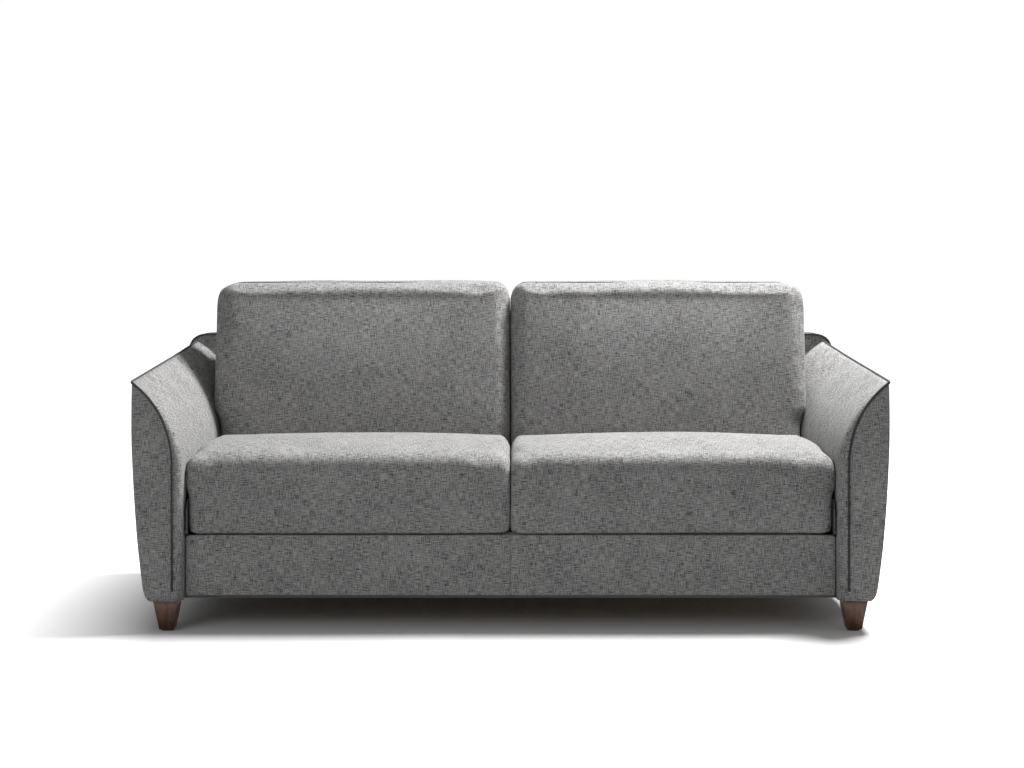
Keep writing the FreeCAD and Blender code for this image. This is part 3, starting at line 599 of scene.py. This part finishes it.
def make_front_panel():
    """The panel under the seat: two padded halves that meet in a seam at the middle."""
    for name, side in SIDES:
        low, high = 0.2, 847.0
        rings = []
        for x in stations(low, high, 5.0, 26.0):
            inset = side_rounding(min(x - low, high - x), 5.0) * 0.6
            top = 247.0 if x < 830 else 244.5
            corners = [(-435.5, 90.0), (-424.2, 90.0), (-424.2, top), (-435.5, top)]
            rings.append([(x, y, z) for y, z in rounded(corners, 3.5, 13.5, inset)])
        panel = closed_skin(f"front_panel_cover_{name}", rings, FABRIC, (low, -430.0, 170.0),
                            (high, -430.0, 170.0), side)
        ruffled(panel, 0.7, 7.0, 17 + side)
        worn_by(panel, "sofa_frame", "upholstery_fabric", "front_panel", fill=0.9)


# Seat cushion and back cushion, in millimetres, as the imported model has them
SEAT_FRONT = -433.0
SEAT_REAR = 129.0
SEAT_TOP = 449.0
SEAT_UNDER = 339.2
SEAT_LIP = -388.5
SEAT_LOW = 249.0
BACK_REAR = 342.8
BACK_LOW = 349.0
BACK_TOP = 893.0
CUSHION_INNER = 1.4
CUSHION_OUTER = 839.4
BAR_TOP = 342.0
FILL_FRAMES = 20


def seat_outline(x, inset, full):
    """The seat cushion cut at x: a deep front border, a crowned top and a flat underside."""
    front = SEAT_FRONT + inset * 0.8
    rear = SEAT_REAR - inset
    top = SEAT_TOP - inset * 1.25
    low = SEAT_LOW + inset * 0.5
    crown = 24.0 * full
    bulge = 12.0 * full
    points = turned((x, front + 14, low), (x, front, low), (x, front, low + 14), 5)
    points += bowed((x, front, low + 14), (x, front, top - 42), (0.0, -bulge, 0.0), 14)
    points += turned((x, front, top - 42), (x, front - 1, top + 1), (x, front + 50, top + 3), 12)
    points += bowed((x, front + 50, top + 3), (x, rear - 36, top), (0.0, 0.0, crown), 30)
    points += turned((x, rear - 36, top), (x, rear, top), (x, rear, top - 34), 8)
    points += straight((x, rear, top - 34), (x, rear, SEAT_UNDER + 12), 5)
    points += turned((x, rear, SEAT_UNDER + 12), (x, rear, SEAT_UNDER),
                     (x, rear - 12, SEAT_UNDER), 4)
    points += straight((x, rear - 12, SEAT_UNDER), (x, SEAT_LIP, SEAT_UNDER), 20)
    points += straight((x, SEAT_LIP, SEAT_UNDER), (x, SEAT_LIP, low), 8)
    points += straight((x, SEAT_LIP, low), (x, front + 14, low), 4)
    return points


def back_outline(x, inset, full):
    """The back cushion cut at x: a leaning crowned face, a soft top and a flat back."""
    low = BACK_LOW + inset * 0.4
    corner = max(0.0, 1 - (CUSHION_OUTER - x) / 60.0, 1 - (x - CUSHION_INNER) / 40.0)
    top = BACK_TOP - inset * 1.1 - 16.0 * corner ** 2
    front_low = 150.0 + inset * 1.2
    front_high = 203.0 + inset * 1.2
    crown = 27.0 * full
    points = turned((x, front_low + 36, low), (x, front_low, low), (x, front_low, low + 40), 7)
    points += bowed((x, front_low, low + 40), (x, front_high, top - 44), (0.0, -crown, 0.0), 34)
    points += turned((x, front_high, top - 44), (x, front_high - 2, top + 2),
                     (x, front_high + 46, top + 2), 12)
    points += bowed((x, front_high + 46, top + 2), (x, BACK_REAR - 34, top),
                    (0.0, 0.0, 6.0 * full), 8)
    points += turned((x, BACK_REAR - 34, top), (x, BACK_REAR, top), (x, BACK_REAR, top - 34), 8)
    points += straight((x, BACK_REAR, top - 34), (x, BACK_REAR, low + 30), 20)
    points += turned((x, BACK_REAR, low + 30), (x, BACK_REAR, low), (x, BACK_REAR - 30, low), 6)
    points += straight((x, BACK_REAR - 30, low), (x, front_low + 36, low), 10)
    return points


def cushion_rings(outline, low, high, radius, sharp):
    """Cuts across a cushion: rounded and drawn in at its sides, full at its middle."""
    rings = []
    half = (high - low) / 2
    for x in stations(low, high, radius, 17.0):
        gap = min(x - low, high - x)
        inset = side_rounding(gap, radius) * sharp
        full = 1 - (1 - min(1.0, gap / half + 0.06)) ** 2.6
        rings.append(outline(x, inset, full))
    return rings


def spread_over(piece, above, reach):
    """Let a cushion's side swell outwards above the flat bars beside it."""
    edge = CUSHION_OUTER * MM
    width = 0.12
    climb = 40.0
    for point in piece.data.vertices:
        lift = min(1.0, max(0.0, (point.co.z / MM - above) / climb))
        share = min(1.0, max(0.0, (abs(point.co.x) - edge + width) / width))
        point.co.x += math.copysign(reach * MM * lift * share * share, point.co.x)
    return piece


def settle(piece):
    """Turn a piece's modifiers into its plain mesh."""
    bpy.context.view_layer.update()
    ready = piece.evaluated_get(bpy.context.evaluated_depsgraph_get())
    mesh = bpy.data.meshes.new_from_object(ready)
    piece.modifiers.clear()
    old = piece.data
    piece.data = mesh
    bpy.data.meshes.remove(old)


def stuffed(piece, pressure, limit, rests):
    """Fill a cushion: its cover as cloth with a little slack, under pressure. A point moves
    forwards or up only, by a limit in millimetres at most, and not where the cushion rests."""
    before = [point.co.copy() for point in piece.data.vertices]
    cloth = piece.modifiers.new("cover", "CLOTH")
    cloth.settings.quality = 6
    cloth.settings.mass = 0.3
    cloth.settings.use_pressure = True
    cloth.settings.uniform_pressure_force = pressure
    cloth.settings.shrink_min = -0.03
    cloth.settings.tension_stiffness = 15
    cloth.settings.compression_stiffness = 15
    cloth.settings.shear_stiffness = 5
    cloth.settings.bending_stiffness = 0.5
    cloth.settings.effector_weights.gravity = 0
    cloth.point_cache.frame_start = 1
    cloth.point_cache.frame_end = FILL_FRAMES
    for number in range(1, FILL_FRAMES + 1):
        bpy.context.scene.frame_set(number)
    settle(piece)
    bpy.context.scene.frame_set(1)
    for point, start in zip(piece.data.vertices, before):
        move = point.co - start
        move.x = 0.0
        move.y = min(0.0, move.y)
        move.z = max(0.0, move.z)
        if move.length > limit * MM:
            move = move.normalized() * limit * MM
        point.co = start + move * (0.0 if rests(start / MM) else 1.0)
    finer = piece.modifiers.new("finer", "SUBSURF")
    finer.levels = 1
    finer.render_levels = 1
    settle(piece)
    return lay_cloth(piece)


def seat_rests(spot):
    """Where a seat cushion lies on its battens or meets the back."""
    return (spot.z < 360.0 and spot.y > -402.0) or spot.y > 100.0 or spot.z < 262.0


def back_rests(spot):
    """Where a back cushion lies on its frame or near the seat, or keeps its height."""
    return spot.y > 270.0 or spot.z < 385.0 or spot.z > 886.0


def make_cushions():
    """Two seat cushions and two back cushions, each a crowned form of its own."""
    for name, side in SIDES:
        rings = cushion_rings(seat_outline, CUSHION_INNER, CUSHION_OUTER, 30.0, 0.75)
        seat = closed_skin(f"seat_cushion_cover_{name}", rings, FABRIC,
                           (CUSHION_INNER - 0.6, -402.0, 349.0),
                           (CUSHION_OUTER + 0.3, -402.0, 349.0), side)
        ruffled(spread_over(seat, BAR_TOP, 10.2), 2.2, 4.2, 21 + side)
        stuffed(seat, 3.0, 9.0, seat_rests)
        worn_by(seat, "seat_section", "upholstery_fabric", f"seat_cushion_{name}", fill=0.8)
        rings = cushion_rings(back_outline, CUSHION_INNER, CUSHION_OUTER, 44.0, 0.78)
        back = closed_skin(f"back_cushion_cover_{name}", rings, FABRIC,
                           (CUSHION_INNER - 0.8, 255.0, 620.0),
                           (CUSHION_OUTER + 0.4, 255.0, 620.0), side)
        spread_over(spread_over(back, BAR_TOP + 20, 8.0), 480.0, 20.0)
        ruffled(back, 3.4, 3.4, 31 + side)
        stuffed(back, 3.0, 11.0, back_rests)
        worn_by(back, "back_section", "upholstery_fabric", f"back_cushion_{name}", fill=0.75)
        # A near-black thread along the back cushion's side seam: painted shade for the crease at
        # the seam.
        seam = [ring[52] for ring in rings[5:-5]]
        thread = tube(f"back_cushion_seam_shade_{name}", seam, 1.3, SEAM_SHADE_AND_TUFT_FELT, side)
        worn_by(thread, "back_section", "upholstery_fabric")
        for soft in (back, thread):
            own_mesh(soft)


def quilted(piece, face, reach):
    """Sink diamond quilting into one face of a mattress part: the face's axis and its level."""
    axis, level, sign = face
    across, along = [a for a in range(3) if a != axis]
    for point in piece.data.vertices:
        depth = (point.co[axis] - level * MM) * sign
        if abs(depth) > 0.004:
            continue
        first = (point.co[across] + point.co[along]) / QUILT_PITCH
        second = (point.co[across] - point.co[along]) / QUILT_PITCH
        crease = max(abs(math.cos(first * math.pi)), abs(math.cos(second * math.pi))) ** 14
        point.co[axis] -= sign * reach * MM * crease
    return piece


def tufted(name, spots, turn, body):
    """Felt tufts that tie the quilting down, one at each spot, set out by Geometry Nodes."""
    mesh = bpy.data.meshes.new(name)
    mesh.from_pydata(spots, [], [])
    piece = bpy.data.objects.new(name, mesh)
    bpy.context.scene.collection.objects.link(piece)
    tree = bpy.data.node_groups.new("tie_tufts", "GeometryNodeTree")
    sockets = tree.interface
    sockets.new_socket("Spots", in_out="INPUT", socket_type="NodeSocketGeometry")
    radius = sockets.new_socket("Radius", in_out="INPUT", socket_type="NodeSocketFloat")
    height = sockets.new_socket("Height", in_out="INPUT", socket_type="NodeSocketFloat")
    sockets.new_socket("Tufts", in_out="OUTPUT", socket_type="NodeSocketGeometry")
    given = tree.nodes.new("NodeGroupInput")
    disc = tree.nodes.new("GeometryNodeMeshCylinder")
    disc.inputs["Vertices"].default_value = 12
    stamp = tree.nodes.new("GeometryNodeInstanceOnPoints")
    stamp.inputs["Rotation"].default_value = turn
    real = tree.nodes.new("GeometryNodeRealizeInstances")
    dyed = tree.nodes.new("GeometryNodeSetMaterial")
    # The tufts take the dark seam cloth, whose colour also paints the crease shade at the cushion
    # seams.
    dyed.inputs["Material"].default_value = SEAM_SHADE_AND_TUFT_FELT
    result = tree.nodes.new("NodeGroupOutput")
    for output, entry in ((given.outputs["Radius"], disc.inputs["Radius"]),
                          (given.outputs["Height"], disc.inputs["Depth"]),
                          (given.outputs["Spots"], stamp.inputs["Points"]),
                          (disc.outputs["Mesh"], stamp.inputs["Instance"]),
                          (stamp.outputs["Instances"], real.inputs["Geometry"]),
                          (real.outputs["Geometry"], dyed.inputs["Geometry"]),
                          (dyed.outputs["Geometry"], result.inputs["Tufts"])):
        tree.links.new(output, entry)
    layout = piece.modifiers.new("tufts", "NODES")
    layout.node_group = tree
    layout[radius.identifier] = 0.0055
    layout[height.identifier] = 0.002
    settle(piece)
    lay_cloth(piece)
    return worn_by(piece, body, "ticking")


def tuft_spots(face, low, high):
    """Where the quilting lines cross on one face of a mattress part, in metres."""
    axis, level, sign = face
    half = QUILT_PITCH / 2
    spots = []
    for row in range(-20, 21):
        for column in range(-20, 21):
            spot = [half * (row + column), half * (row - column)]
            if abs(spot[0]) < 0.74 and low < spot[1] < high:
                spot.insert(axis, (level - sign * 2.6) * MM)
                spots.append(tuple(spot))
    return spots


def make_mattress():
    """Three mattress parts in ticking, quilted on the side that is slept on."""
    half = 770.0
    parts = (
        ("middle", "seat_section", [(-386.8, 257.2), (424.0, 257.2), (364.6, 316.4),
                                    (-386.8, 316.4)], 8.0, (2, 257.2, -1), 3.0),
        ("foot", "back_section", [(365.4, 318.6), (424.8, 259.2), (424.8, 727.6),
                                  (365.4, 727.6)], 8.0, (1, 424.8, 1), 3.0),
        ("head", "head_section", [(-408.4, 137.6), (170.8, 137.6), (170.8, 254.8),
                                  (-408.4, 254.8)], 14.0, (2, 254.8, 1), 3.0),
    )
    for name, body, corners, radius, face, depth in parts:
        rings = []
        for x in stations(-half, half, 14.0, 13.0):
            inset = side_rounding(min(x + half, half - x), 14.0) * 0.8
            ring = rounded(corners, radius, 13.0, inset)
            rings.append([(x, y, z) for y, z in ring])
        centre = [sum(c[i] for c in corners) / 4 for i in (0, 1)]
        pad = closed_skin(f"mattress_cover_{name}", rings, TICKING,
                          (-half, centre[0], centre[1]), (half, centre[0], centre[1]))
        quilted(pad, face, depth)
        worn_by(pad, body, "ticking", f"mattress_{name}", fill=0.85)
        along = [c[2 - face[0]] * MM for c in corners]
        turn = (math.radians(90), 0.0, 0.0) if face[0] == 1 else (0.0, 0.0, 0.0)
        tufted(f"mattress_tufts_{name}", tuft_spots(face, min(along) + 0.07, max(along) - 0.02),
               turn, body)


def make_feet():
    """Square walnut feet that taper to the floor, with softened corners."""
    for place, y in (("front", FRONT + 12 + 33), ("rear", REAR - 12 - 33)):
        for name, side in SIDES:
            rings = []
            for z, half in ((4.2, 18.6), (5.6, 20.0), (30.0, 24.3), (55.0, 28.7), (78.6, 32.9),
                            (79.9, 32.0)):
                square = [(-half, -half), (half, -half), (half, half), (-half, half)]
                rings.append([(894.0 + u, y + v, z) for u, v in rounded(square, 3.0, 16.0)])
            foot = skin(f"walnut_foot_{place}_{name}", rings, WALNUT,
                        ((894.0, y, 4.2), (894.0, y, 79.9)), side)
            worn_by(foot, "sofa_frame", "walnut_wood", f"foot_{place}_{name}")


def make_strap():
    """The webbing loop that pulls the bed out, doubled and stitched over its rail."""
    low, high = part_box("pull_strap")
    x0, y0, z0 = (c / MM for c in low)
    x1, y1, z1 = (c / MM for c in high)
    rings = []
    for i in range(13):
        z = z0 + (z1 - z0) * i / 12
        sway = 0.25 * math.sin(i * 0.9)
        band = [(x0 + 0.2, y0 + 0.4), (x1 - 0.2, y0 + 0.4), (x1 - 0.2, y1 - 0.3),
                (x0 + 0.2, y1 - 0.3)]
        rings.append([(x, y + sway, z) for x, y in rounded(band, 1.6, 6.0)])
    middle = ((x0 + x1) / 2, (y0 + y1) / 2)
    strap = skin("pull_strap_webbing", rings, WEBBING,
                 ((middle[0], middle[1], z0), (middle[0], middle[1], z1)))
    worn_by(strap, "back_section", "webbing", "pull_strap")


def finish_nodes():
    """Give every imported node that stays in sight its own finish."""
    for part in frame["record"]["subparts"]:
        node = frame["nodes"][part["node"]]
        node.data.materials.clear()
        node.data.materials.append(FINISHES[part["material_slot"]])
        if part["material_slot"] in ("upholstery_fabric", "ticking"):
            lay_cloth(node)


# Name, place, target, size and power of each lamp; the sky's light on the sofa
LAMPS = (("key", (1.7, 0.5, 3.7), (0.0, 0.0, 0.4), 1.3, 300.0),
         ("fill", (-2.6, -4.2, 2.2), (0.0, 0.0, 0.5), 2.5, 30.0))
SKY_LIGHT = 0.2
CAMERA_PLACE = (0.0, -5.475, 0.99)
CAMERA_LENS = 68.0
CAMERA_SHIFT = (1.5, -134.0)
IMAGE_WIDTH = 1024


def lamp(name, place, target, size, power):
    light = bpy.data.lights.new(name, "AREA")
    light.shape = "DISK"
    light.size = size
    light.energy = power
    holder = bpy.data.objects.new(name, light)
    bpy.context.scene.collection.objects.link(holder)
    holder.location = place
    holder.rotation_euler = (Vector(target) - Vector(place)).to_track_quat("-Z", "Y").to_euler()


def make_stage():
    """White floor and sky, soft lamps from above and to the right, and the camera."""
    world = bpy.data.worlds.new("white_studio")
    bpy.context.scene.world = world
    world.use_nodes = True
    tree = world.node_tree
    sky = tree.nodes["Background"]
    rays = tree.nodes.new("ShaderNodeLightPath")
    seen = tree.nodes.new("ShaderNodeMath")
    seen.operation = "MAXIMUM"
    tree.links.new(rays.outputs["Is Camera Ray"], seen.inputs[0])
    tree.links.new(rays.outputs["Is Transmission Ray"], seen.inputs[1])
    clear = tree.nodes.new("ShaderNodeMath")
    clear.operation = "MAXIMUM"
    tree.links.new(seen.outputs[0], clear.inputs[0])
    tree.links.new(rays.outputs["Is Glossy Ray"], clear.inputs[1])
    level = tree.nodes.new("ShaderNodeMapRange")
    level.inputs["To Min"].default_value = SKY_LIGHT
    level.inputs["To Max"].default_value = 1.0
    tree.links.new(clear.outputs[0], level.inputs["Value"])
    tree.links.new(level.outputs[0], sky.inputs["Strength"])
    sky.inputs["Color"].default_value = (1.0, 1.0, 1.0, 1.0)

    floor = Finish("white_floor", Roughness=0.9, Specular_IOR_Level=0.1)
    spot = floor.place()
    speck = floor.grain(spot, 3.0)
    rays = [floor.node("ShaderNodeLightPath", {}, {}, f"Is {kind} Ray")
            for kind in ("Camera", "Glossy", "Transmission")]
    seen = floor.node("ShaderNodeMath", {"operation": "MAXIMUM"}, {0: rays[0], 1: rays[1]})
    seen = floor.node("ShaderNodeMath", {"operation": "MAXIMUM"}, {0: seen, 1: rays[2]})
    pale = floor.blend(speck * 0.1, grey(0.88), grey(0.86))
    floor.feed("Base Color", floor.blend(seen, grey(0.36), pale))
    flat = floor.stretched(spot, (1.0, 0.55, 1.0))
    away = floor.node("ShaderNodeVectorMath", {"operation": "LENGTH"}, {0: flat}, "Value")
    glow = floor.between(away, 0.96, 1.35)
    floor.feed("Emission Color", floor.blend(seen * glow, grey(0.0), grey(0.95)))
    floor.shader.inputs["Emission Strength"].default_value = 1.0
    mesh = bpy.data.meshes.new("floor")
    reach = 40.0
    corners = [(-reach, -reach, 0), (reach, -reach, 0), (reach, reach, 0), (-reach, reach, 0)]
    mesh.from_pydata(corners, [], [(0, 1, 2, 3)])
    mesh.materials.append(floor.material)
    ground = bpy.data.objects.new("floor", mesh)
    bpy.context.scene.collection.objects.link(ground)

    for light in LAMPS:
        lamp(*light)

    lens = bpy.data.cameras.new("camera")
    lens.sensor_width = 36.0
    lens.lens = CAMERA_LENS
    lens.shift_x = CAMERA_SHIFT[0] / IMAGE_WIDTH
    lens.shift_y = CAMERA_SHIFT[1] / IMAGE_WIDTH
    lens.clip_end = 200.0
    camera = bpy.data.objects.new("camera", lens)
    bpy.context.scene.collection.objects.link(camera)
    camera.location = CAMERA_PLACE
    camera.rotation_euler = (math.radians(90), 0.0, 0.0)
    bpy.context.scene.camera = camera
    bpy.context.scene.view_settings.view_transform = "Standard"


make_stage()
finish_nodes()
make_arms()
make_back()
make_front_panel()
make_cushions()
make_mattress()
make_feet()
make_strap()

bpy.context.view_layer.update()
